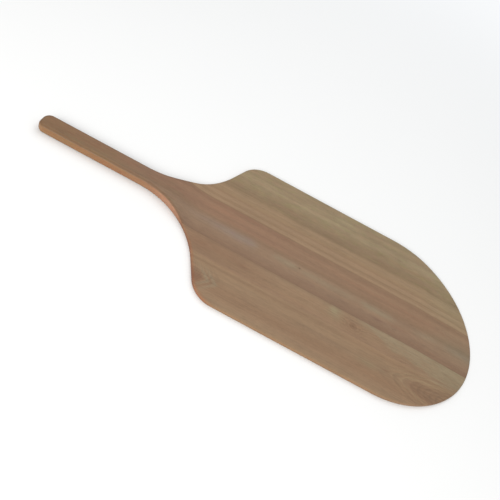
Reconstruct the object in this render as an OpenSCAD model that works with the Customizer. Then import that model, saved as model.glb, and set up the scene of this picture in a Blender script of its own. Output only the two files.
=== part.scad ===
// Wooden pizza peel: a long, round-nosed blade glued up from three boards.
// The middle board runs on past the shoulders and becomes the handle.
//
// Frame: millimetres, +Z up, +X from the handle towards the nose.
// The origin is under the middle of the peel, on the plane it rests on.
// Left and right are as seen by the cook who holds the handle.

/* [Overall] */
// Length from the butt of the handle to the nose of the blade
overall_l = 914; // [820:1:1060]
// Width across the parallel sides of the blade
blade_w = 356; // [320:1:400]

/* [Blade] */
// Thickness of the flat part of the blade
blade_t = 8; // [6:0.5:11]
// Thickness left at the nose after the taper
nose_t = 3; // [2:0.5:5]
// Length of the taper on top of the nose
taper_l = 120; // [60:5:170]
// How much flatter than a half circle the nose's side arcs are
nose_ease = 12; // [6:1:24]
// How much tighter than a half circle the very front of the nose is
nose_point = 6; // [3:1:12]

/* [Shoulders and neck] */
// Distance from the butt to the start of the parallel sides
shoulder_x = 430; // [400:1:480]
// Radius of each rounded shoulder
shoulder_r = 52; // [35:1:70]
// Radius of the hollow curve from the handle into each shoulder
neck_r = 165; // [140:1:180]
// Angle of the short straight flank between the two curves
flank_a = 64.5; // [60:0.5:68]

/* [Handle] */
// Width of the handle
handle_w = 38; // [32:0.5:44]
// Thickness of the handle, which is the full thickness of the stock
handle_t = 19; // [16:0.5:22]
// Corner radius of the butt, seen from above
butt_r = 14.5; // [12.5:0.5:15.5]
// Roundover on the handle's arrises
handle_edge_r = 5.5; // [3:0.5:6]
// Distance from the butt to where the top starts to fall to the blade
ramp_x = 268; // [250:1:285]
// Length of the smooth fall from handle thickness to blade thickness
ramp_l = 84; // [70:1:100]

/* [Boards] */
// Distance of the left glue line from the centre line
left_joint_y = 36.5; // [28:0.5:60]
// Distance of the right glue line from the centre line
right_joint_y = 56.5; // [28:0.5:80]

/* [Hidden] */
$fn = 180;
e = 0.01;

// half widths
bw = blade_w / 2;
hw = handle_w / 2;
er = handle_edge_r;

// nose: two side arcs, and a nose arc that touches both from inside
nose_side_r = bw + nose_ease;
nose_r = bw - nose_point;
arc_cy = bw - nose_side_r;                              // side arc centre, across
nose_dx = sqrt(pow(nose_side_r - nose_r, 2) - pow(arc_cy, 2));
nose_x = overall_l - nose_r;                            // nose arc centre
side_end_x = nose_x - nose_dx;                          // end of the parallel sides
touch_a = atan2(-arc_cy, nose_dx);                      // where the arcs touch
touch_x = nose_x + nose_r * cos(touch_a);

// flank and neck
flank_w1 = bw - shoulder_r + shoulder_r * cos(flank_a); // half width, outer end
flank_x1 = shoulder_x - shoulder_r * sin(flank_a);
flank_w0 = hw + neck_r * (1 - cos(flank_a));            // half width, inner end
flank_x0 = flank_x1 - (flank_w1 - flank_w0) / tan(flank_a);
neck_x = flank_x0 - neck_r * sin(flank_a);              // start of the hollow

// fall from the handle to the blade: two equal arcs
fall = handle_t - blade_t;
ramp_r = (ramp_l * ramp_l + fall * fall) / (4 * fall);
ramp_mx = ramp_x + ramp_l / 2;
ramp_mz = (handle_t + blade_t) / 2;

// the peel seen from above, butt at x = 0
module plan() {
    // blade with its round nose
    translate([shoulder_x, -bw]) square([side_end_x - shoulder_x, blade_w]);
    intersection() {
        translate([side_end_x, arc_cy]) circle(nose_side_r);
        translate([side_end_x, -arc_cy]) circle(nose_side_r);
        translate([side_end_x - e, -bw]) square([touch_x - side_end_x + e, blade_w]);
    }
    intersection() {
        translate([nose_x, 0]) circle(nose_r);
        translate([touch_x - e, -bw]) square([overall_l - touch_x + 2 * e, blade_w]);
    }
    // shoulders
    for (s = [-1, 1]) translate([shoulder_x, s * (bw - shoulder_r)]) circle(shoulder_r);
    // flanks, filled to the centre line
    polygon([
        [flank_x0, -flank_w0], [flank_x1, -flank_w1],
        [shoulder_x + e, -flank_w1], [shoulder_x + e, flank_w1],
        [flank_x1, flank_w1], [flank_x0, flank_w0]
    ]);
    // hollow neck
    difference() {
        translate([neck_x, -flank_w0]) square([flank_x0 - neck_x + e, 2 * flank_w0]);
        for (s = [-1, 1]) translate([neck_x, s * (hw + neck_r)]) circle(neck_r);
    }
    // handle, up to where the rounded butt begins
    translate([butt_r, -hw]) square([neck_x - butt_r + e, handle_w]);
}

// the peel seen from the side, butt at x = 0
module side() {
    translate([butt_r, 0]) square([ramp_x - butt_r + e, handle_t]);
    intersection() {
        translate([ramp_x, handle_t - ramp_r]) circle(ramp_r);
        translate([ramp_x, 0]) square([ramp_mx - ramp_x, handle_t]);
    }
    difference() {
        translate([ramp_mx - e, 0]) square([ramp_x + ramp_l - ramp_mx + 2 * e, ramp_mz]);
        translate([ramp_x + ramp_l, blade_t + ramp_r]) circle(ramp_r);
    }
    polygon([
        [ramp_x + ramp_l, 0], [overall_l, 0], [overall_l, nose_t],
        [overall_l - taper_l, blade_t], [ramp_x + ramp_l, blade_t]
    ]);
}

// corner of a roundover of radius r, with the arris at the origin
module arris(r) {
    difference() {
        translate([-r, -r]) square([r + 1, r + 1]);
        translate([-r, -r]) circle(r);
    }
}

// cutter along both sides of the handle and into the neck, for an arris at
// height z that faces up (1) or down (-1)
module handle_arris(z, up) {
    translate([0, 0, z]) for (s = [-1, 1]) mirror([0, s < 0 ? 1 : 0, 0]) {
        // side of the handle
        translate([butt_r - 1, hw, 0]) rotate([90, 0, 90])
            linear_extrude(neck_x - butt_r + 1) scale([1, up]) arris(er);
        // hollow of the neck, as far as the foot of the fall
        translate([neck_x, hw + neck_r, 0]) rotate([0, 0, -90])
            rotate_extrude(angle = asin((ramp_x + ramp_l - neck_x) / neck_r))
            translate([neck_r, 0]) scale([-1, up]) arris(er);
    }
}

// half of the handle's section, from its middle out to x = w, with both
// outer corners rounded
module half_section(w) {
    square([w - er, handle_t]);
    translate([0, er]) square([w, handle_t - 2 * er]);
    for (z = [er, handle_t - er]) translate([w - er, z]) circle(er);
}

// rounded end of the handle: two round corners and the block between them
module butt() {
    for (s = [-1, 1]) intersection() {
        translate([butt_r, s * (hw - butt_r), 0]) rotate_extrude() half_section(butt_r);
        translate([0, -hw - 1, 0]) cube([butt_r, handle_w + 2, handle_t]);
    }
    translate([butt_r, -(hw - butt_r), 0]) rotate([90, 0, 180])
        linear_extrude(handle_w - 2 * butt_r) half_section(butt_r);
}

// the whole peel, before it is split at the glue lines
module blank() {
    difference() {
        intersection() {
            linear_extrude(handle_t) plan();
            translate([0, bw + 1, 0]) rotate([90, 0, 0]) linear_extrude(blade_w + 2) side();
        }
        handle_arris(handle_t, 1);
        handle_arris(0, -1);
    }
    butt();
}

// the strip of the blank between two planes across the width
module strip(y0, y1) {
    translate([-overall_l / 2, 0, 0]) intersection() {
        blank();
        translate([-1, y0, -1]) cube([overall_l + 2, y1 - y0, handle_t + 2]);
    }
}

module handle_board() { color([0.58, 0.46, 0.37]) strip(-right_joint_y, left_joint_y); }
module left_side_board() { color([0.60, 0.52, 0.40]) strip(left_joint_y, bw + 1); }
module right_side_board() { color([0.60, 0.49, 0.38]) strip(-bw - 1, -right_joint_y); }

handle_board();
left_side_board();
right_side_board();
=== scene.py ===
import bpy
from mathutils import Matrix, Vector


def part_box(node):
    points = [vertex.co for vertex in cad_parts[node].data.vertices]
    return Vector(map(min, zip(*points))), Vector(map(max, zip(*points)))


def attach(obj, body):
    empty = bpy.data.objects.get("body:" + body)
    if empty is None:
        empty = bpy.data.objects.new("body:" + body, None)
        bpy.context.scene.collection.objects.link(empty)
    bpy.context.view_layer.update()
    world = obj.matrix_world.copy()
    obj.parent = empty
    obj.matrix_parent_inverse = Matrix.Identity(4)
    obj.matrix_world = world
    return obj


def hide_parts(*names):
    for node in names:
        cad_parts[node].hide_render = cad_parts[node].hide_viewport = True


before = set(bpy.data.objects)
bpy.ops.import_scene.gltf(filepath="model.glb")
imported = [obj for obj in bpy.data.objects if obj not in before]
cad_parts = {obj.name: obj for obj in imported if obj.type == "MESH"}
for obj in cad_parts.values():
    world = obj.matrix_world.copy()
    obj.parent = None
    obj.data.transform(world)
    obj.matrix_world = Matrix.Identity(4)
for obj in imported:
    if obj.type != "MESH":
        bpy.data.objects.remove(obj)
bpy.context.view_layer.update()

import math

import bmesh
import bpy
import numpy as np
from mathutils import Matrix, Vector
from mathutils.geometry import delaunay_2d_cdt

MM = 0.001

# ---------------------------------------------------------------- sizes
# The overall sizes come from the CAD nodes; the shape between them repeats
# the design's own radii, in millimetres.
h_lo, h_hi = [Vector(c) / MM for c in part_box("handle_board")]
l_lo, l_hi = [Vector(c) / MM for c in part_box("left_side_board")]
r_lo, r_hi = [Vector(c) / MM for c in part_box("right_side_board")]
BUTT, NOSE = h_lo.x, h_hi.x
LENGTH = NOSE - BUTT
HALF = l_hi.y
THICK = h_hi.z
JOINT_L, JOINT_R = h_hi.y, h_lo.y

HANDLE = 19.0            # half width of the handle
BUTT_R = 14.5            # corner radius of the butt
NECK_R = 165.0
FLANK = math.radians(64.5)
SHOULDER_R = 52.0
SHOULDER_X = 430.0
SIDE_R = HALF + 12.0
NOSE_R = HALF - 6.0
RAMP_X, RAMP_L = 268.0, 84.0
BLADE_T, NOSE_T, TAPER_L = 8.0, 3.0, 120.0


def outline():
    """One side of the peel seen from above, from the butt to the nose, as
    points (distance from the butt, half width) about evenly spaced."""
    pts = []

    def arc(cx, cy, r, a0, a1, step):
        n = max(3, int(abs(a1 - a0) * r / step))
        for i in range(n + 1):
            a = a0 + (a1 - a0) * i / n
            pts.append((cx + r * math.cos(a), cy + r * math.sin(a)))

    def line(x0, y0, x1, y1, step):
        n = max(1, int(math.hypot(x1 - x0, y1 - y0) / step))
        for i in range(n + 1):
            pts.append((x0 + (x1 - x0) * i / n, y0 + (y1 - y0) * i / n))

    w1 = HALF - SHOULDER_R * (1 - math.cos(FLANK))
    x1 = SHOULDER_X - SHOULDER_R * math.sin(FLANK)
    w0 = HANDLE + NECK_R * (1 - math.cos(FLANK))
    x0 = x1 - (w1 - w0) / math.tan(FLANK)
    neck_x = x0 - NECK_R * math.sin(FLANK)
    cy = HALF - SIDE_R
    dx = math.sqrt((SIDE_R - NOSE_R) ** 2 - cy ** 2)
    nose_x = LENGTH - NOSE_R
    side_x = nose_x - dx
    touch = math.atan2(-cy, dx)

    line(0, 0, 0, HANDLE - BUTT_R, 1.2)
    arc(BUTT_R, HANDLE - BUTT_R, BUTT_R, math.pi, math.pi / 2, 1.0)
    line(BUTT_R, HANDLE, neck_x, HANDLE, 5.0)
    arc(neck_x, HANDLE + NECK_R, NECK_R, -math.pi / 2, -math.pi / 2 + FLANK, 2.0)
    line(x0, w0, x1, w1, 2.0)
    arc(SHOULDER_X, HALF - SHOULDER_R, SHOULDER_R, math.pi / 2 + FLANK, math.pi / 2, 1.6)
    line(SHOULDER_X, HALF, side_x, HALF, 5.0)
    arc(side_x, cy, SIDE_R, math.pi / 2, touch, 2.5)
    arc(nose_x, 0, NOSE_R, touch, 0, 2.5)
    out = [pts[0]]
    for p in pts[1:]:
        if math.hypot(p[0] - out[-1][0], p[1] - out[-1][1]) > 0.3:
            out.append(p)
    out[-1] = (LENGTH, 0.0)
    return out


def top_z(x):
    """Height of the top at distance x from the butt (arrays welcome)."""
    x = np.asarray(x, float)
    fall = THICK - BLADE_T
    r = (RAMP_L ** 2 + fall ** 2) / (4 * fall)
    t = x - RAMP_X
    z = np.full_like(x, THICK)
    a = (t > 0) & (t <= RAMP_L / 2)
    z[a] = THICK - (r - np.sqrt(r * r - t[a] ** 2))
    b = (t > RAMP_L / 2) & (t <= RAMP_L)
    u = RAMP_L - t[b]
    z[b] = BLADE_T + (r - np.sqrt(r * r - u ** 2))
    z[t > RAMP_L] = BLADE_T
    # the taper is planed flat, and its start is blended by hand sanding
    s = x - (LENGTH - TAPER_L)
    k = (BLADE_T - NOSE_T) / TAPER_L
    soft = 9.0
    c = s > soft
    z[c] = BLADE_T - k * s[c]
    m = (s > -soft) & (s <= soft)
    z[m] = BLADE_T - k * (s[m] + soft) ** 2 / (4 * soft)
    return z


def edge_r(x, top):
    """Roundover radius at distance x from the butt."""
    if top:
        r = np.interp(x, [0, 14, 255, 350, 430, LENGTH - TAPER_L, LENGTH], [6.5, 5.5, 5.3, 2.4, 1.8, 1.8, 1.1])
    else:
        r = np.interp(x, [0, 14, 255, 350, 430, LENGTH - TAPER_L, LENGTH], [6.5, 5.5, 5.3, 2.2, 1.5, 1.5, 0.9])
    return r


def peel_mesh():
    """The whole peel as one closed mesh: rings of roundover round a filled
    top and underside. Returns a bmesh in metres, with the distance of each
    vertex from the outline in the layer edge_d."""
    half = outline()
    n = len(half)
    ring = [(x, w) for x, w in half] + [(x, -w) for x, w in reversed(half[1:-1])]
    P = np.array(ring)
    N = len(P)
    d = np.roll(P, -1, axis=0) - np.roll(P, 1, axis=0)
    d /= np.linalg.norm(d, axis=1)[:, None]
    # the ring runs clockwise seen from above, so inward is to its right
    inward = np.stack([d[:, 1], -d[:, 0]], 1)
    if np.dot(inward[0], (1, 0)) < 0:
        inward = -inward

    verts, dist = [], []

    def add(points, z, off):
        start = len(verts)
        for p, zz, o in zip(points, z, off):
            verts.append((p[0] + BUTT, p[1], zz))
            dist.append(o)
        return list(range(start, start + len(points)))

    rings = []
    rt, rb = edge_r(P[:, 0], True), edge_r(P[:, 0], False)
    K = 7
    # underside, from its flat out to the wall
    Q = P + inward * (rb + 0.6)[:, None]
    rings.append(add(Q, np.zeros(N), rb + 0.6))
    for i in range(K + 1):
        a = math.pi / 2 * (1 - i / K)
        off = rb * (1 - math.cos(a))
        Q = P + inward * off[:, None]
        rings.append(add(Q, rb * (1 - math.sin(a)), off))
    # wall
    zt = top_z(P[:, 0])
    for f in (1 / 3, 2 / 3):
        z = rb + (zt - rt - rb) * f
        rings.append(add(P, z, np.zeros(N)))
    # top
    for i in range(K + 1):
        a = math.pi / 2 * i / K
        off = rt * (1 - math.cos(a))
        Q = P + inward * off[:, None]
        rings.append(add(Q, top_z(Q[:, 0]) - rt * (1 - math.sin(a)), off))
    Q = P + inward * (rt + 0.6)[:, None]
    rings.append(add(Q, top_z(Q[:, 0]), rt + 0.6))
    faces = []
    for a, b in zip(rings, rings[1:]):
        for i in range(N):
            j = (i + 1) % N
            faces.append((a[i], a[j], b[j], b[i]))

    # filled top and underside
    def fill(ids, z_of, up):
        poly = [Vector((verts[i][0], verts[i][1])) for i in ids]
        xs = np.array([p.x for p in poly[: n]])
        ws = np.array([p.y for p in poly[: n]])
        inner = []
        step = 7.0
        ylist = sorted(set([JOINT_L, JOINT_R] + [JOINT_R + step * k for k in range(-24, 40)]))
        ylist = [y for y in ylist if abs(y - JOINT_L) < 1e-6 or abs(y - JOINT_R) < 1e-6 or min(abs(y - JOINT_L), abs(y - JOINT_R)) > 2.5]
        x = BUTT + 6.0
        while x < NOSE - 3:
            w = np.interp(x, xs, ws)
            fine = RAMP_X - 12 < x - BUTT < RAMP_X + RAMP_L + 12 or x - BUTT > LENGTH - TAPER_L - 14
            for y in ylist:
                if abs(y) < w - 2.2:
                    inner.append(Vector((x, y)))
            x += 3.5 if fine else 7.0
        coords = poly + inner
        vs, es, fs, ov, oe, of_ = delaunay_2d_cdt(coords, [], [list(range(len(poly)))], 1, 1e-5)
        idmap = {}
        for k, v in enumerate(vs):
            src = ov[k][0] if ov[k] else None
            if src is not None and src < len(poly):
                idmap[k] = ids[src]
            else:
                bx = v.x - BUTT
                idmap[k] = len(verts)
                verts.append((v.x, v.y, float(z_of(np.array([bx]))[0])))
                dist.append(20.0)
        for f in fs:
            f = [idmap[k] for k in f]
            a, b, c = (Vector(verts[k]) for k in f[:3])
            if ((b - a).cross(c - a).z > 0) != up:
                f = f[::-1]
            faces.append(tuple(f))

    fill(rings[0], lambda x: np.zeros_like(x), False)
    fill(rings[-1], top_z, True)

    me = bpy.data.meshes.new("peel_blank")
    me.from_pydata([tuple(c * MM for c in v) for v in verts], [], faces)
    me.update()
    bm = bmesh.new()
    bm.from_mesh(me)
    bpy.data.meshes.remove(me)
    layer = bm.verts.layers.float.new("edge_d")
    bm.verts.ensure_lookup_table()
    for i, v in enumerate(bm.verts):
        v[layer] = dist[i]
    bmesh.ops.recalc_face_normals(bm, faces=bm.faces)
    return bm


def board(name, blank, y0, y1, nodes):
    """The strip of the blank between two planes, closed at its glue faces."""
    bm = blank.copy()
    for y, keep_above in ((y0, True), (y1, False)):
        if y is None:
            continue
        res = bmesh.ops.bisect_plane(
            bm, geom=bm.verts[:] + bm.edges[:] + bm.faces[:], dist=1e-7,
            plane_co=(0, y * MM, 0), plane_no=(0, 1, 0),
            clear_inner=keep_above, clear_outer=not keep_above)
        cut = [e for e in res["geom_cut"] if isinstance(e, bmesh.types.BMEdge) and e.is_valid and e.is_boundary]
        made = bmesh.ops.holes_fill(bm, edges=cut, sides=0)["faces"]
        bmesh.ops.triangulate(bm, faces=made, ngon_method="BEAUTY")
    bmesh.ops.remove_doubles(bm, verts=bm.verts, dist=2e-7)
    bmesh.ops.recalc_face_normals(bm, faces=bm.faces)
    for f in bm.faces:
        f.smooth = True
    for e in bm.edges:
        if len(e.link_faces) == 2 and e.calc_face_angle() > math.radians(35):
            e.smooth = False
    me = bpy.data.meshes.new(name)
    bm.to_mesh(me)
    bm.free()
    ob = bpy.data.objects.new(name, me)
    bpy.context.scene.collection.objects.link(ob)
    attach(ob, "root")
    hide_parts(*nodes)
    return ob


# ---------------------------------------------------------------- node maths
def lin(c):
    c = c / 255.0
    return c / 12.92 if c <= 0.04045 else ((c + 0.055) / 1.055) ** 2.4


class Val:
    """A float socket that can be written in formulas."""

    def __init__(self, tree, socket):
        self.t, self.s = tree, socket

    def __add__(self, o): return self.t.math("ADD", self, o)
    def __radd__(self, o): return self.t.math("ADD", o, self)
    def __sub__(self, o): return self.t.math("SUBTRACT", self, o)
    def __rsub__(self, o): return self.t.math("SUBTRACT", o, self)
    def __mul__(self, o): return self.t.math("MULTIPLY", self, o)
    def __rmul__(self, o): return self.t.math("MULTIPLY", o, self)
    def __truediv__(self, o): return self.t.math("DIVIDE", self, o)
    def __rtruediv__(self, o): return self.t.math("DIVIDE", o, self)
    def __neg__(self): return self.t.math("MULTIPLY", self, -1.0)
    def __abs__(self): return self.t.math("ABSOLUTE", self)
    def pow(self, o): return self.t.math("POWER", self, o)
    def frac(self): return self.t.math("FRACT", self)
    def floor(self): return self.t.math("FLOOR", self)
    def sqrt(self): return self.t.math("SQRT", self)
    def exp(self): return self.t.math("EXPONENT", self)
    def cos(self): return self.t.math("COSINE", self)
    def sin(self): return self.t.math("SINE", self)
    def clamp(self): return self.t.math("MINIMUM", self.t.math("MAXIMUM", self, 0.0), 1.0)
    def max(self, o): return self.t.math("MAXIMUM", self, o)
    def min(self, o): return self.t.math("MINIMUM", self, o)


class Tree:
    def __init__(self, name):
        self.mat = bpy.data.materials.new(name)
        self.mat.use_nodes = True
        self.nt = self.mat.node_tree
        self.nt.nodes.clear()
        self.k = 0

    def node(self, kind, **props):
        n = self.nt.nodes.new(kind)
        for a, b in props.items():
            setattr(n, a, b)
        n.location = (180 * (self.k % 24), -200 * (self.k // 24))
        n.hide = True
        self.k += 1
        return n

    def put(self, socket, value):
        if isinstance(value, Val):
            self.nt.links.new(value.s, socket)
        elif hasattr(value, "is_linked"):
            self.nt.links.new(value, socket)
        else:
            socket.default_value = value

    def math(self, op, *args):
        n = self.node("ShaderNodeMath", operation=op)
        for i, a in enumerate(args):
            self.put(n.inputs[i], a)
        return Val(self, n.outputs[0])

    def vec(self, x, y, z):
        n = self.node("ShaderNodeCombineXYZ")
        for i, a in enumerate((x, y, z)):
            self.put(n.inputs[i], a)
        return n.outputs[0]

    def noise(self, x, y, z, detail=2.0, rough=0.5, scale=1.0, distortion=0.0):
        """Noise about 0, mostly within -1 to 1."""
        n = self.node("ShaderNodeTexNoise", noise_dimensions="3D")
        self.put(n.inputs["Vector"], self.vec(x, y, z))
        n.inputs["Scale"].default_value = scale
        n.inputs["Detail"].default_value = detail
        n.inputs["Roughness"].default_value = rough
        n.inputs["Distortion"].default_value = distortion
        return (Val(self, n.outputs["Fac"]) - 0.5) * 2.0

    def step(self, v, lo, hi):
        """Smooth step from 0 at lo to 1 at hi; lo may be above hi."""
        n = self.node("ShaderNodeMapRange", interpolation_type="SMOOTHSTEP", clamp=True)
        self.put(n.inputs["Value"], v)
        if lo <= hi:
            a, b, c, d = lo, hi, 0.0, 1.0
        else:
            a, b, c, d = hi, lo, 1.0, 0.0
        for k, q in (("From Min", a), ("From Max", b), ("To Min", c), ("To Max", d)):
            n.inputs[k].default_value = q
        return Val(self, n.outputs["Result"])

    def bell(self, v, centre, width):
        """1 at centre, falling smoothly to near 0 two widths away."""
        u = (v - centre) / width
        return (u * u * -1.0).exp()

    def ramp(self, v, lo, hi, stops, interp="CARDINAL", gain=(1.0, 1.0, 1.0)):
        """A colour at each place along v, between lo and hi."""
        n = self.node("ShaderNodeValToRGB")
        r = n.color_ramp
        r.interpolation = interp
        stops = sorted(((s[0] - lo) / (hi - lo), s[1]) for s in stops)
        while len(r.elements) > 1:
            r.elements.remove(r.elements[-1])
        for i, (p, c) in enumerate(stops):
            e = r.elements[0] if i == 0 else r.elements.new(p)
            e.position = p
            e.color = tuple(lin(q) * g for q, g in zip(c, gain)) + (1.0,)
        self.put(n.inputs[0], ((v - lo) / (hi - lo)).clamp())
        return n.outputs[0]

    def mix(self, f, a, b, mode="MIX"):
        n = self.node("ShaderNodeMix", data_type="RGBA", blend_type=mode)
        n.clamp_factor = True
        self.put(n.inputs[0], f)
        for sock, v in ((n.inputs[6], a), (n.inputs[7], b)):
            if isinstance(v, tuple):
                v = tuple(lin(q) for q in v) + (1.0,)
            self.put(sock, v)
        return n.outputs[2]

    def scale(self, colour, f):
        """The colour times a float."""
        n = self.node("ShaderNodeVectorMath", operation="SCALE")
        self.put(n.inputs[0], colour)
        self.put(n.inputs["Scale"], f)
        return n.outputs[0]

    def tint(self, colour, f, rgb):
        """The colour moved towards colour * rgb by f."""
        n = self.node("ShaderNodeVectorMath", operation="MULTIPLY")
        self.put(n.inputs[0], colour)
        n.inputs[1].default_value = rgb
        return self.mix(f, colour, n.outputs[0])


GAIN = (0.803, 0.768, 0.690)


def wood(name, kind):
    """Bare sanded wood, coloured through its whole depth, so that faces,
    edges and end grain belong to the same board."""
    t = Tree(name)
    co = t.node("ShaderNodeTexCoord")
    sep = t.node("ShaderNodeSeparateXYZ")
    t.put(sep.inputs[0], co.outputs["Object"])
    x, y, z = (Val(t, sep.outputs[i]) * 1000.0 for i in range(3))
    seed = {"left": 11.3, "middle": 47.9, "right": 83.1}[kind]

    # slow waver of the grain, the same for every layer of detail
    waver = t.noise(x / 330.0 + seed, y / 70.0, z / 70.0, 1.0) * 4.5 \
        + t.noise(x / 95.0, y / 26.0 + seed, z / 26.0, 1.0) * 1.2 \
        + t.noise(x / 31.0, y / 9.0 + seed, z / 9.0, 1.0) * 0.35
    yw = y + waver

    # ---- growth rings: distance from the heart of the tree
    if kind == "left":
        a = yw - 205.0
        b = z + 150.0 + x * 0.012
        ring_w = 4.3
    elif kind == "middle":
        a = yw + 330.0
        b = z + 95.0 - x * 0.03
        ring_w = 3.4
    else:
        # the saw ran close to the heart: the rings run straight in the middle
        # of the board and close into arches at both ends
        a = yw + 131.0
        u = (-20.0 - x).max(0.0)
        v = (x - 262.0).max(0.0)
        b = 50.0 - u * u * 0.0052 - v * 0.045 - v * v * 0.0006 + z * 0.9 \
            + t.noise(x / 90.0, y / 60.0, seed, 1.0) * 1.6
        ring_w = 2.5
    rho = (a * a + b * b).sqrt()
    if kind == "right":
        # the grain runs round the knot
        rho = rho + t.bell(x, 218.0, 26.0) * t.bell(y, -77.5, 8.5) * 7.0
        rho = rho + t.bell(x, 2.0, 16.0) * t.bell(y, -78.0, 6.0) * 2.5
    if kind == "middle":
        rho = rho + t.bell(x, 96.0, 9.0) * t.bell(y, -17.5, 3.0) * 1.6
    ring = rho / ring_w + t.noise(rho / 16.0, x / 900.0, seed, 2.0) * 0.9
    phase = ring.frac()
    # pale early wood darkening into a thin late-wood line, each year different
    late = t.step(phase, 0.10, 0.90) * t.step(phase, 1.0, 0.90)
    year = t.noise(ring.floor() * 3.7, seed, 3.1, 0.0)
    strong = t.step(year, -0.25, 0.65)
    # wider bands of good and lean years
    seasons = t.noise(rho / (ring_w * 3.2), seed, 0.7, 1.0)

    # ---- tone across the board
    stops = {
        "left": [(178, (152, 134, 106)), (160, (153, 133, 106)), (146, (153, 134, 107)), (140, (156, 137, 110)),
                 (134, (161, 142, 114)), (128, (153, 134, 107)), (116, (147, 127, 99)), (105, (145, 123, 97)),
                 (93, (140, 117, 91)), (87, (147, 123, 96)), (80, (153, 128, 102)), (70, (155, 129, 101)),
                 (64, (150, 123, 97)), (57, (158, 131, 105)), (49.5, (149, 122, 96)), (42, (160, 133, 107)),
                 (38.5, (152, 125, 99)), (36.5, (143, 115, 91))],
        "middle": [(36, (146, 118, 94)), (31, (142, 113, 90)), (20, (151, 121, 97)), (10, (147, 117, 94)),
                   (2, (147, 117, 94)), (-8, (143, 115, 92)), (-13, (146, 118, 96)), (-19, (147, 120, 98)),
                   (-27, (147, 120, 98)), (-33, (148, 121, 99)), (-42, (143, 116, 95)), (-50, (140, 112, 91)),
                   (-55, (137, 109, 89))],
        "right": [(-57, (146, 120, 96)), (-64, (153, 127, 102)), (-72, (152, 125, 100)), (-85, (150, 123, 98)),
                  (-97, (150, 122, 98)), (-101.5, (154, 127, 101)), (-106, (147, 120, 95)), (-112, (152, 126, 100)),
                  (-130, (150, 124, 99)), (-145, (148, 120, 95)), (-157, (150, 122, 97)), (-167, (153, 127, 102)),
                  (-178, (151, 126, 101))],
    }[kind]
    lo, hi = min(s[0] for s in stops), max(s[0] for s in stops)
    yt = y + waver * 0.45 + t.noise(x / 55.0, y / 12.0 + seed, z / 12.0, 2.0) * 1.6
    if kind == "left":
        yt = yt + t.noise(x / 48.0, y / 16.0, seed + 4.0, 2.0) * 9.0 * t.step(y, 66.0, 92.0)
    col = t.ramp(yt, lo, hi, stops, gain=GAIN)

    def patch(cx, cy, lx, ly, ragged=0.5):
        """A soft island of colour, stretched and frayed along the grain."""
        fx = x + t.noise(x / 20.0, y / 2.6, cx * 0.1, 2.0) * lx * ragged
        fy = y + t.noise(x / 34.0, y / 9.0, cy * 0.1, 2.0) * ly * ragged
        return t.bell(fx, cx, lx) * t.bell(fy, cy, ly)

    def profile(points):
        """A strength that changes along the peel."""
        lo_x, hi_x = points[0][0], points[-1][0]
        w = x + t.noise(x / 24.0, y / 3.0, seed, 2.0) * 12.0
        return Val(t, t.ramp(w, lo_x, hi_x, [(p, (255.0 * s,) * 3) for p, s in points], "LINEAR"))

    # ---- features of each board
    if kind == "left":
        # the olive heart wood breaks into islands and dips to the joint
        # near the nose
        m = t.step(x + t.noise(x / 40.0, y / 14.0, seed, 2.0) * 22.0, 330.0, 415.0) * t.step(y, 30.0, 60.0) * t.step(y, 110.0, 80.0)
        col = t.tint(col, m * 0.85, (0.94, 1.02, 1.01))
        olive = t.step(y, 80.0, 98.0)
        cloud = t.noise(x / 26.0, y / 11.0, z / 11.0 + seed, 3.0, 0.6) * olive
        col = t.tint(col, t.step(cloud, -0.05, 0.4), (0.96, 1.02, 0.93))
        col = t.tint(col, t.step(cloud, 0.0, -0.4), (1.05, 1.01, 1.02))
        haze = t.noise(x / 44.0, y / 17.0 + 3.0, z / 17.0 + seed, 3.0, 0.6) * olive
        col = t.tint(col, t.step(haze, 0.0, 0.5), (1.07, 1.10, 1.06))
        col = t.tint(col, t.step(haze, 0.0, -0.5), (0.94, 0.91, 0.90))
        col = t.tint(col, t.step(x, 80.0, 190.0) * t.bell(y, 134.0, 9.0), (0.94, 0.935, 0.935))
        col = t.tint(col, patch(160.0, 155.0, 24.0, 8.0, 0.8), (1.02, 1.09, 1.10))
        col = t.tint(col, patch(150.0, 138.0, 26.0, 5.0, 0.8), (1.03, 1.08, 1.06))
        col = t.tint(col, patch(125.0, 92.0, 60.0, 5.0, 0.8), (0.93, 0.92, 0.92))
        col = t.tint(col, patch(345.0, 118.0, 26.0, 10.0, 0.8), (0.99, 0.93, 0.93))
        # painted sheen: the far blade lighter and greener towards the nose
        col = t.tint(col, t.step(x, 250.0, 410.0), (1.05, 1.085, 1.09))
        # straight pale and dark lines beside the joint
        lines = (yt * 1.14 + t.noise(x / 260.0, y / 3.0, seed, 1.0) * 0.7).cos() * t.step(y, 82.0, 66.0)
        col = t.scale(col, lines * 0.022 + 1.0)
    if kind == "middle":
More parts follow.
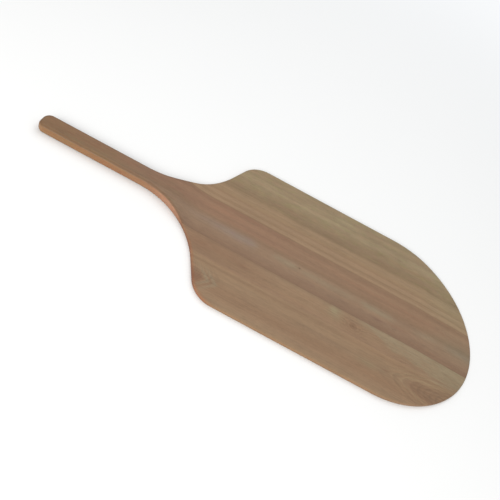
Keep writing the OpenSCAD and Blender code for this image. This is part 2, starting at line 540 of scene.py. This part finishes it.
        # bluish mineral streak along the grain
        grainy = t.noise(x / 60.0, y / 1.1, z / 1.1, 2.0) * 0.35 + 1.0
        along = profile([(-457, 0), (-172, 0), (-140, 0.45), (-110, 0.65), (-60, 0.9), (-30, 1), (-2, 0.95), (14, 0.25), (32, 0.2),
                         (50, 0.85), (80, 1), (96, 0.65), (112, 0.85), (150, 0.8), (200, 0.75), (218, 0.5), (232, 0.95),
                         (262, 1), (284, 0.9), (297, 0.3), (326, 0.1), (343, 0.7), (362, 0.9), (380, 0.7), (392, 0.3),
                         (406, 0.7), (457, 0.9)])
        sy = y + 20.0 + t.noise(x / 60.0, 5.0, seed, 2.0) * 5.0 - t.step(x, 330.0, 385.0) * 5.0
        streak = (sy * sy / -64.0).exp() * along * grainy
        blue = t.step(x, 30.0, -10.0)
        violet = t.step(t.noise(x / 18.0, y / 5.0, seed + 6.0, 2.0), -0.1, 0.4)
        wide = (sy * sy / -110.0).exp() * along * blue
        col = t.tint(col, wide * 0.9, (0.97, 1.11, 1.34))
        col = t.tint(col, wide * violet * 0.8, (1.04, 0.96, 1.08))
        col = t.tint(col, streak * blue * 0.35, (1.0, 1.06, 1.14))
        col = t.tint(col, streak * (1.0 - blue), (1.06, 1.24, 1.28))
        col = t.tint(col, streak * t.step(x, 385.0, 410.0), (0.84, 0.80, 0.84))
        col = t.tint(col, t.step(y, -12.0, 4.0) * t.step(x, 110.0, 20.0), (1.01, 0.965, 0.98))
        col = t.tint(col, t.step(x, 330.0, 420.0), (1.025, 1.03, 1.03))
        # greenish, greyer wood towards the nose
        tip = t.step(x + t.noise(x / 50.0, y / 12.0, seed, 2.0) * 30.0, 345.0, 432.0) * t.bell(y, -4.0, 27.0)
        col = t.tint(col, tip * 0.9, (0.925, 1.06, 1.08))
        # reddish heart, darker beside the right glue line
        col = t.tint(col, t.step(t.noise(x / 120.0, y / 9.0, z / 9.0 + seed, 2.0), -0.1, 0.6) * t.step(y, 0.0, 12.0), (1.02, 0.965, 0.97))
        bl = t.step(t.noise(x / 34.0, y / 5.0, seed + 2.0, 2.0), 0.10, 0.6) * t.bell(y, -43.0, 11.0)
        col = t.tint(col, bl, (0.92, 0.87, 0.89))
        col = t.tint(col, patch(262.0, -37.0, 12.0, 3.0), (0.86, 0.80, 0.84))
        col = t.tint(col, patch(303.0, -33.0, 22.0, 3.5), (0.93, 0.87, 0.88))
        # the handle is darker and greyer: partly its own tone where hands hold it, partly painted shade for the light
        # falling off over the handle
        handle_tone_and_shade = t.step(x, -110.0, -190.0)
        col = t.tint(col, handle_tone_and_shade, (0.89, 0.89, 0.90))
        col = t.tint(col, t.step(x + t.noise(x / 30.0, y / 8.0, z / 8.0, 2.0) * 40.0, -270.0, -456.0) * 0.8, (0.93, 0.92, 0.88))
        col = t.tint(col, t.step(x, -230.0, -330.0), (1.0, 1.0, 0.91))
        grip = t.noise(x / 26.0, y / 5.5, z / 5.5 + 2.0, 3.0, 0.6) * handle_tone_and_shade
        col = t.tint(col, t.step(grip, 0.0, 0.45), (1.02, 1.09, 1.0))
        col = t.tint(col, t.step(grip, 0.0, -0.45), (0.99, 0.90, 0.87))
        # pin knot
        kx, ky = x - 95.5, y + 17.5
        pin = ((kx * kx / 2.6 + ky * ky / 1.4) * -1.0).exp()
        halo = ((kx * kx / 60.0 + ky * ky / 9.0) * -1.0).exp()
        tail = t.step(x, 96.0, 99.0) * t.step(x, 116.0, 99.0) * t.bell(y, -15.5, 1.6)
        col = t.tint(col, halo * 0.5, (0.86, 0.82, 0.80))
        col = t.tint(col, tail * 0.8, (1.10, 1.12, 1.13))
        col = t.tint(col, pin, (0.42, 0.36, 0.34))
    if kind == "right":
        # pale greenish sap wood beside the joint, widening towards the nose
        depth = -57.0 - y
        wide = t.step(x, 250.0, 305.0) * 21.0 + t.step(x, 300.0, 420.0) * 14.0 + 8.0
        slant = t.noise(x / 26.0 + y / 14.0, y / 6.0, seed, 3.0)
        pale = t.step(depth - wide + slant * 15.0, 6.0, -9.0) * t.step(x, 205.0, 246.0)
        mottle = t.noise(x / 22.0 + y / 9.0, y / 4.0, z / 4.0, 2.0) * 0.8 + 0.85
        col = t.tint(col, pale * mottle.clamp(), (1.02, 1.18, 1.24))
        col = t.tint(col, pale * t.step(depth, 9.0, 1.0) * t.step(x, 230.0, 290.0), (1.05, 1.06, 1.05))
        col = t.tint(col, patch(180.0, -70.0, 13.0, 11.0, 0.8), (1.02, 1.18, 1.17))
        col = t.tint(col, t.bell(x, 176.0, 8.0) * t.bell(y, -64.0, 7.0), (1.03, 1.10, 1.10))
        col = t.tint(col, patch(256.0, -133.0, 19.0, 6.0, 0.8), (1.0, 1.10, 1.09))
        col = t.tint(col, t.step(x, 330.0, 440.0), (0.95, 0.985, 0.98))
        # dark heart of the flame near the nose
        open_ = ((x - 322.0).max(0.0) * 7.0 + 1.0).sqrt() - (322.0 - x).max(0.0) * 0.42
        fl = abs(y + 130.0 + waver * 0.5) - open_ + t.noise(x / 24.0, y / 4.0, seed, 2.0) * 2.6 + 3.0
        flame = t.step(fl, 2.0, -3.0) * t.step(x, 318.0, 346.0)
        lines = (fl * 0.95 + t.noise(x / 34.0, y / 7.0, seed, 1.0) * 2.4).cos()
        col = t.tint(col, flame * (lines * 0.26 + 0.80), (0.84, 0.775, 0.77))
        rim = t.bell(fl, 4.6, 2.2) + t.bell(fl, 12.5, 2.6) * 0.7 + t.bell(fl, 21.0, 2.6) * 0.4
        rim = rim * t.step(x, 262.0, 300.0) * t.step(x, 430.0, 385.0)
        col = t.tint(col, rim, (1.05, 1.11, 1.10))
        gap = (t.bell(fl, 8.6, 1.6) + t.bell(fl, 16.6, 1.6) * 0.8) * t.step(x, 262.0, 300.0)
        col = t.tint(col, gap * 0.6, (0.94, 0.91, 0.91))
        col = t.tint(col, patch(290.0, -128.5, 11.0, 2.2, 0.9), (0.87, 0.83, 0.82))
        col = t.tint(col, t.step(y, -100.0, -110.0), (0.99, 0.98, 0.985))
        # pale arrow of grain at the shoulder
        w = abs(y + 141.0 + waver * 0.5) * 1.05 + (x + 34.0) + t.noise(x / 9.0, y / 5.0, seed, 2.0) * 3.0
        arrow = t.bell(w, 0.0, 4.6) + t.bell(w, -14.0, 4.2)
        arrow = arrow * t.bell(y, -141.0, 19.0)
        col = t.tint(col, arrow, (1.02, 1.19, 1.28))
        col = t.tint(col, t.bell(w, -7.0, 2.6) * t.bell(y, -141.0, 17.0), (0.94, 0.91, 0.92))
        core = t.step(w, -18.0, -27.0) * t.bell(y, -141.0, 15.0)
        col = t.tint(col, core, (0.88, 0.82, 0.83))
        # knot with bark-brown middle, and a faint smudge further back
        kx, ky = x - 218.0 + t.noise(x / 6.0, y / 4.0, seed, 1.0) * 2.5, y + 77.5
        r2 = kx * kx / 1.7 + ky * ky
        knot = (r2 / -20.0).exp()
        halo = (r2 / -260.0).exp()
        swirl = (r2.sqrt() * 1.25 + t.noise(x / 5.0, y / 3.0, seed, 1.0) * 1.4).cos()
        col = t.tint(col, halo * (swirl * 0.45 + 0.75), (0.90, 0.84, 0.82))
        col = t.tint(col, knot * (t.noise(x / 2.0, y / 1.2, z / 2.0, 3.0) * 0.4 + 0.9), (0.78, 0.71, 0.68))
        kx, ky = x + 2.0, y + 78.0
        col = t.tint(col, ((kx * kx / 120.0 + ky * ky / 14.0) * -1.0).exp(), (0.90, 0.85, 0.84))
        col = t.tint(col, t.step(x, 90.0, 20.0) * t.step(y, -103.0, -90.0), (0.95, 0.92, 0.92))
        # rose-brown zone in the corner of the neck, and a darker spot at the edge of the near flank
        col = t.tint(col, patch(-92.0, -80.0, 22.0, 11.0) * 0.9, (0.96, 0.91, 0.91))
        col = t.tint(col, t.step(x, 45.0, -45.0) * t.bell(y, -68.0, 15.0), (0.93, 0.88, 0.87))
        spot = t.step(x, -54.0, -68.0) * t.bell(y, -146.0, 16.0)
        col = t.tint(col, spot, (0.92, 0.86, 0.84))

    # ---- rings, streaks, fibre and pores
    ring_amp = {"left": 0.040, "middle": 0.034, "right": 0.042}[kind]
    figure = 1.0
    if kind == "right":
        figure = t.step(x, 245.0, 320.0) * t.bell(y, -131.0, 40.0) * 0.9 + t.step(x, -10.0, -50.0) * t.bell(y, -135.0, 34.0) * 0.9 \
            + t.bell(x, 218.0, 34.0) * t.bell(y, -78.0, 14.0) * 1.2 + 1.0
    tone = 1.0 - (late - 0.3) * (strong * 1.9 + 0.4) * figure * ring_amp + seasons * ring_amp * 1.5
    streaks = t.noise(x / 260.0 + seed, y / 2.4, z / 2.4, 3.0, 0.6)
    bands = t.noise(x / 420.0, y / 6.5 + seed, z / 6.5, 1.0)
    flecks = t.noise(x / 13.0 + seed, y / 2.0, z / 2.0, 3.0, 0.6)
    fibre = t.noise(x / 34.0, y / 0.42, z / 0.42, 2.0, 0.6)
    calm = 1.0
    if kind == "left":
        calm = 1.0 - t.step(y, 80.0, 98.0) * 0.4
    elif kind == "middle":
        calm = 1.0 - t.step(x, -110.0, -60.0) * 0.3
    tone = tone + (streaks * 0.15 + bands * 0.075) * calm + flecks * 0.16 + fibre * 0.12
    pore_field = t.noise(x / 5.5 + seed, y / 0.34, z / 0.34, 1.0, 0.5)
    pore_zone = t.step(t.noise(x / 90.0, y / 3.5, z / 3.5, 1.0), -0.5, 0.5) * 0.6 + late * 0.3 + 0.25
    pores = t.step(pore_field, 0.20, 0.40) * pore_zone
    tone = tone - pores * 0.22 + 0.012
    mottling = t.noise(x / 42.0, y / 15.0 + seed, z / 15.0, 2.0)
    tone = tone + mottling * 0.10
    col = t.scale(col, tone)
    warm = t.noise(x / 150.0, y / 6.0, z / 6.0 + seed, 2.0)
    col = t.tint(col, t.step(warm, 0.0, 0.7) * 0.6, (1.035, 0.985, 0.945))
    cool = t.noise(x / 24.0, y / 3.2, z / 3.2 + seed * 2.0, 2.0)
    col = t.tint(col, t.step(cool, 0.05, 0.6) * 0.6, (0.965, 1.005, 1.02))

    # ---- sides and arrises; the side faces carry painted light, brighter and more orange than the top as if turned to the key light
    geo = t.node("ShaderNodeNewGeometry")
    ns = t.node("ShaderNodeSeparateXYZ")
    t.put(ns.inputs[0], geo.outputs["True Normal"])
    nx, ny, nz = (abs(Val(t, ns.outputs[i])) for i in range(3))
    side = t.step(nz, 0.80, 0.25)
    end = t.step(nx, 0.55, 0.9)
    if kind == "middle":
        # painted light: the side faces brighter and more orange than the top
        col = t.tint(col, side, (1.35, 1.08, 0.90))
        # painted pink highlight on the side of the neck
        col = t.tint(col, side * t.bell(x, -173.0, 36.0), (1.26, 1.32, 1.60))
        patchy = t.noise(x / 30.0, y / 9.0, z / 6.0 + seed, 3.0, 0.6)
        col = t.tint(col, side * t.step(patchy, 0.0, 0.5), (0.93, 1.03, 1.08))
        col = t.tint(col, side * t.step(patchy, 0.0, -0.5), (1.08, 0.98, 0.92))
        # painted light on the side towards the butt, a little lighter and cooler
        col = t.tint(col, side * t.step(x, -330.0, -430.0), (0.97, 1.03, 1.03))
    else:
        # painted light: the side faces brighter and more orange than the top
        col = t.tint(col, side, (1.13, 1.04, 0.97))
        if kind == "right":
            col = t.tint(col, side * t.step(x, -15.0, -55.0), (0.97, 0.84, 0.80))
            col = t.tint(col, side * t.step(t.noise(x / 14.0, y / 6.0, z / 4.0, 2.0), 0.0, 0.5), (1.06, 0.96, 0.88))
    col = t.tint(col, end * side, (0.82, 0.79, 0.77))
    col = t.tint(col, end * side * (late * 0.7 + 0.3), (0.84, 0.80, 0.77))
    at = t.node("ShaderNodeAttribute", attribute_name="edge_d")
    d = Val(t, at.outputs["Fac"])
    near = t.step(d, 3.6, 0.5)
    wear = near * t.step(t.noise(x / 30.0, y / 9.0, z / 9.0 + seed, 3.0), -0.35, 0.5)
    soil = near * t.step(t.noise(x / 21.0 + 7.0, y / 7.0, z / 7.0 + seed, 3.0), 0.0, 0.6)
    if kind == "middle":
        # painted shade: the rounded arris darker and browner, to damp the light it catches from the key
        arris_shade = t.bell(nz, 0.80, 0.22) * t.step(d, 6.0, 4.2)
        col = t.tint(col, arris_shade, (0.82, 0.75, 0.67))
        col = t.tint(col, wear * 0.25, (1.05, 1.03, 1.0))
    else:
        col = t.tint(col, wear * 0.5, (1.07, 1.06, 1.05))
    col = t.tint(col, soil * 0.6, (0.90, 0.87, 0.84))
    if kind != "left":
        # warmer, redder rim along the near edge of the neck flank, over its roundover and side
        rim = t.step(d, 12.0, 2.2) * t.step(x, -20.0, -52.0) * t.step(x, -125.0, -95.0) * t.step(y, -36.0, -48.0)
        col = t.tint(col, rim * (t.noise(x / 9.0, y / 9.0, seed, 2.0) * 0.4 + 0.85), (1.05, 0.88, 0.82))
    glue = None
    for j in ([JOINT_L] if kind == "left" else [JOINT_R] if kind == "right" else [JOINT_L, JOINT_R]):
        g = t.step(abs(y - j), 0.42, 0.12)
        glue = g if glue is None else glue.max(g)
    col = t.tint(col, glue * 0.8, (0.66, 0.60, 0.56))

    # ---- surface
    rough = 0.56 + t.noise(x / 60.0, y / 4.0, z / 4.0, 2.0) * 0.05 + pores * 0.12 + fibre * 0.03 - late * 0.04
    if kind == "middle":
        rough = rough - t.step(x, -180.0, -330.0) * 0.07
    height = fibre * 0.020 - pores * 0.060 + late * strong * 0.016 + streaks * 0.016 + flecks * 0.010 - glue * 0.05
    bump = t.node("ShaderNodeBump")
    bump.inputs["Strength"].default_value = 0.85
    bump.inputs["Distance"].default_value = MM
    t.put(bump.inputs["Height"], height)

    bsdf = t.node("ShaderNodeBsdfPrincipled")
    out = t.node("ShaderNodeOutputMaterial")
    t.put(bsdf.inputs["Base Color"], col)
    t.put(bsdf.inputs["Roughness"], rough)
    bsdf.inputs["IOR"].default_value = 1.45
    bsdf.inputs["Specular IOR Level"].default_value = 0.35
    bsdf.inputs["Sheen Weight"].default_value = 0.04
    bsdf.inputs["Sheen Roughness"].default_value = 0.5
    t.put(bsdf.inputs["Normal"], bump.outputs["Normal"])
    t.nt.links.new(bsdf.outputs[0], out.inputs[0])
    t.mat.diffuse_color = (0.31, 0.21, 0.13, 1)
    return t.mat


# ---------------------------------------------------------------- the peel
blank = peel_mesh()
pieces = [
    ("middle_board_and_handle", JOINT_R, JOINT_L, "handle_board", "middle_board_wood", "middle"),
    ("left_board", JOINT_L, None, "left_side_board", "left_board_wood", "left"),
    ("right_board", None, JOINT_R, "right_side_board", "right_board_wood", "right"),
]
for name, y0, y1, node, slot, kind in pieces:
    ob = board(name, blank, y0, y1, [node])
    ob.data.materials.append(wood("wood_" + kind, kind))
blank.free()

# ---------------------------------------------------------------- the set
scene = bpy.context.scene
fm = bpy.data.meshes.new("floor")
S = 6.0
fm.from_pydata([(-S, -S, 0), (S, -S, 0), (S, S, 0), (-S, S, 0)], [], [(0, 1, 2, 3)])
floor = bpy.data.objects.new("floor", fm)
floor.location = (0, 0, -0.0002)
scene.collection.objects.link(floor)
BACKDROP = (0.97, 0.985, 1.0, 1)
SKY, SEEN = 0.62, 0.35   # strength of the room light, and what the camera sees on top of it
ft = Tree("floor_paint")
fb = ft.node("ShaderNodeBsdfPrincipled")
fo = ft.node("ShaderNodeOutputMaterial")
fb.inputs["Base Color"].default_value = (0.86, 0.86, 0.855, 1)
fb.inputs["Roughness"].default_value = 0.9
fb.inputs["Specular IOR Level"].default_value = 0.1
# away from the peel the floor melts into the backdrop, so no horizon shows
fg = ft.node("ShaderNodeNewGeometry")
fs = ft.node("ShaderNodeSeparateXYZ")
ft.put(fs.inputs[0], fg.outputs["Position"])
fx, fy = Val(ft, fs.outputs[0]), Val(ft, fs.outputs[1])
fl = ft.node("ShaderNodeLightPath")
fe = ft.node("ShaderNodeEmission")
fe.inputs["Color"].default_value = BACKDROP
ft.put(fe.inputs["Strength"], Val(ft, fl.outputs["Is Camera Ray"]) * SEEN + SKY)
fm_ = ft.node("ShaderNodeMixShader")
ft.put(fm_.inputs[0], ft.step((fx * fx + fy * fy).sqrt(), 0.75, 2.1))
ft.nt.links.new(fb.outputs[0], fm_.inputs[1])
ft.nt.links.new(fe.outputs[0], fm_.inputs[2])
ft.nt.links.new(fm_.outputs[0], fo.inputs[0])
fm.materials.append(ft.mat)

world = bpy.data.worlds.new("studio")
scene.world = world
world.use_nodes = True
bg = world.node_tree.nodes.get("Background") or world.node_tree.nodes.new("ShaderNodeBackground")
wo = world.node_tree.nodes.get("World Output") or world.node_tree.nodes.new("ShaderNodeOutputWorld")
world.node_tree.links.new(bg.outputs[0], wo.inputs[0])
bg.inputs[0].default_value = BACKDROP
lp = world.node_tree.nodes.new("ShaderNodeLightPath")
wm = world.node_tree.nodes.new("ShaderNodeMath")
wm.operation = "MULTIPLY_ADD"
world.node_tree.links.new(lp.outputs["Is Camera Ray"], wm.inputs[0])
wm.inputs[1].default_value = SEEN
wm.inputs[2].default_value = SKY
world.node_tree.links.new(wm.outputs[0], bg.inputs[1])


def area(name, at, aim, size, power, colour):
    d = bpy.data.lights.new(name, "AREA")
    d.shape = "RECTANGLE"
    d.size, d.size_y = size
    d.energy = power
    d.color = colour
    o = bpy.data.objects.new(name, d)
    scene.collection.objects.link(o)
    o.location = at
    o.rotation_euler = (Vector(aim) - Vector(at)).to_track_quat("-Z", "Y").to_euler()
    o.visible_camera = False
    return o


area("key", (-0.85, -2.25, 1.7), (0, 0, 0), (2.2, 1.4), 62.0, (1.0, 0.975, 0.94))
area("fill", (0.3, 1.5, 2.4), (0, 0, 0), (2.0, 2.0), 22.0, (0.96, 0.98, 1.0))

# ---------------------------------------------------------------- camera
CAM_F = 534.68           # focal length, in pixels of a 500-pixel frame
CAM_TILT = math.radians(43.769)
CAM_D = 1.07875
CAM_AIM = (-0.10602, 0.10342, 0.0)
CAM_ROLL = math.radians(28.327)
CAM_C = (-57.59, -49.79)   # principal point, along and across the peel

right = Vector((1, 0, 0))
fwd = Vector((0, math.cos(CAM_TILT), -math.sin(CAM_TILT)))
up = Vector((0, math.sin(CAM_TILT), math.cos(CAM_TILT)))
cr, sr = math.cos(CAM_ROLL), math.sin(CAM_ROLL)
R = right * cr + up * sr
U = up * cr - right * sr
cam = bpy.data.cameras.new("camera")
cam.sensor_fit = "HORIZONTAL"
cam.sensor_width = 36.0
cam.lens = CAM_F / 500.0 * 36.0
cam.shift_x = -(CAM_C[0] * cr - CAM_C[1] * sr + 0.5) / 500.0
cam.shift_y = (CAM_C[0] * sr + CAM_C[1] * cr + 0.5) / 500.0
cam.clip_start = 0.05
co = bpy.data.objects.new("camera", cam)
scene.collection.objects.link(co)
pos = Vector(CAM_AIM) - fwd * CAM_D
co.matrix_world = Matrix((
    (R.x, U.x, -fwd.x, pos.x),
    (R.y, U.y, -fwd.y, pos.y),
    (R.z, U.z, -fwd.z, pos.z),
    (0, 0, 0, 1)))
scene.camera = co

scene.view_settings.view_transform = "Standard"
scene.view_settings.look = "None"
scene.view_settings.exposure = 0.0
scene.view_settings.gamma = 1.0
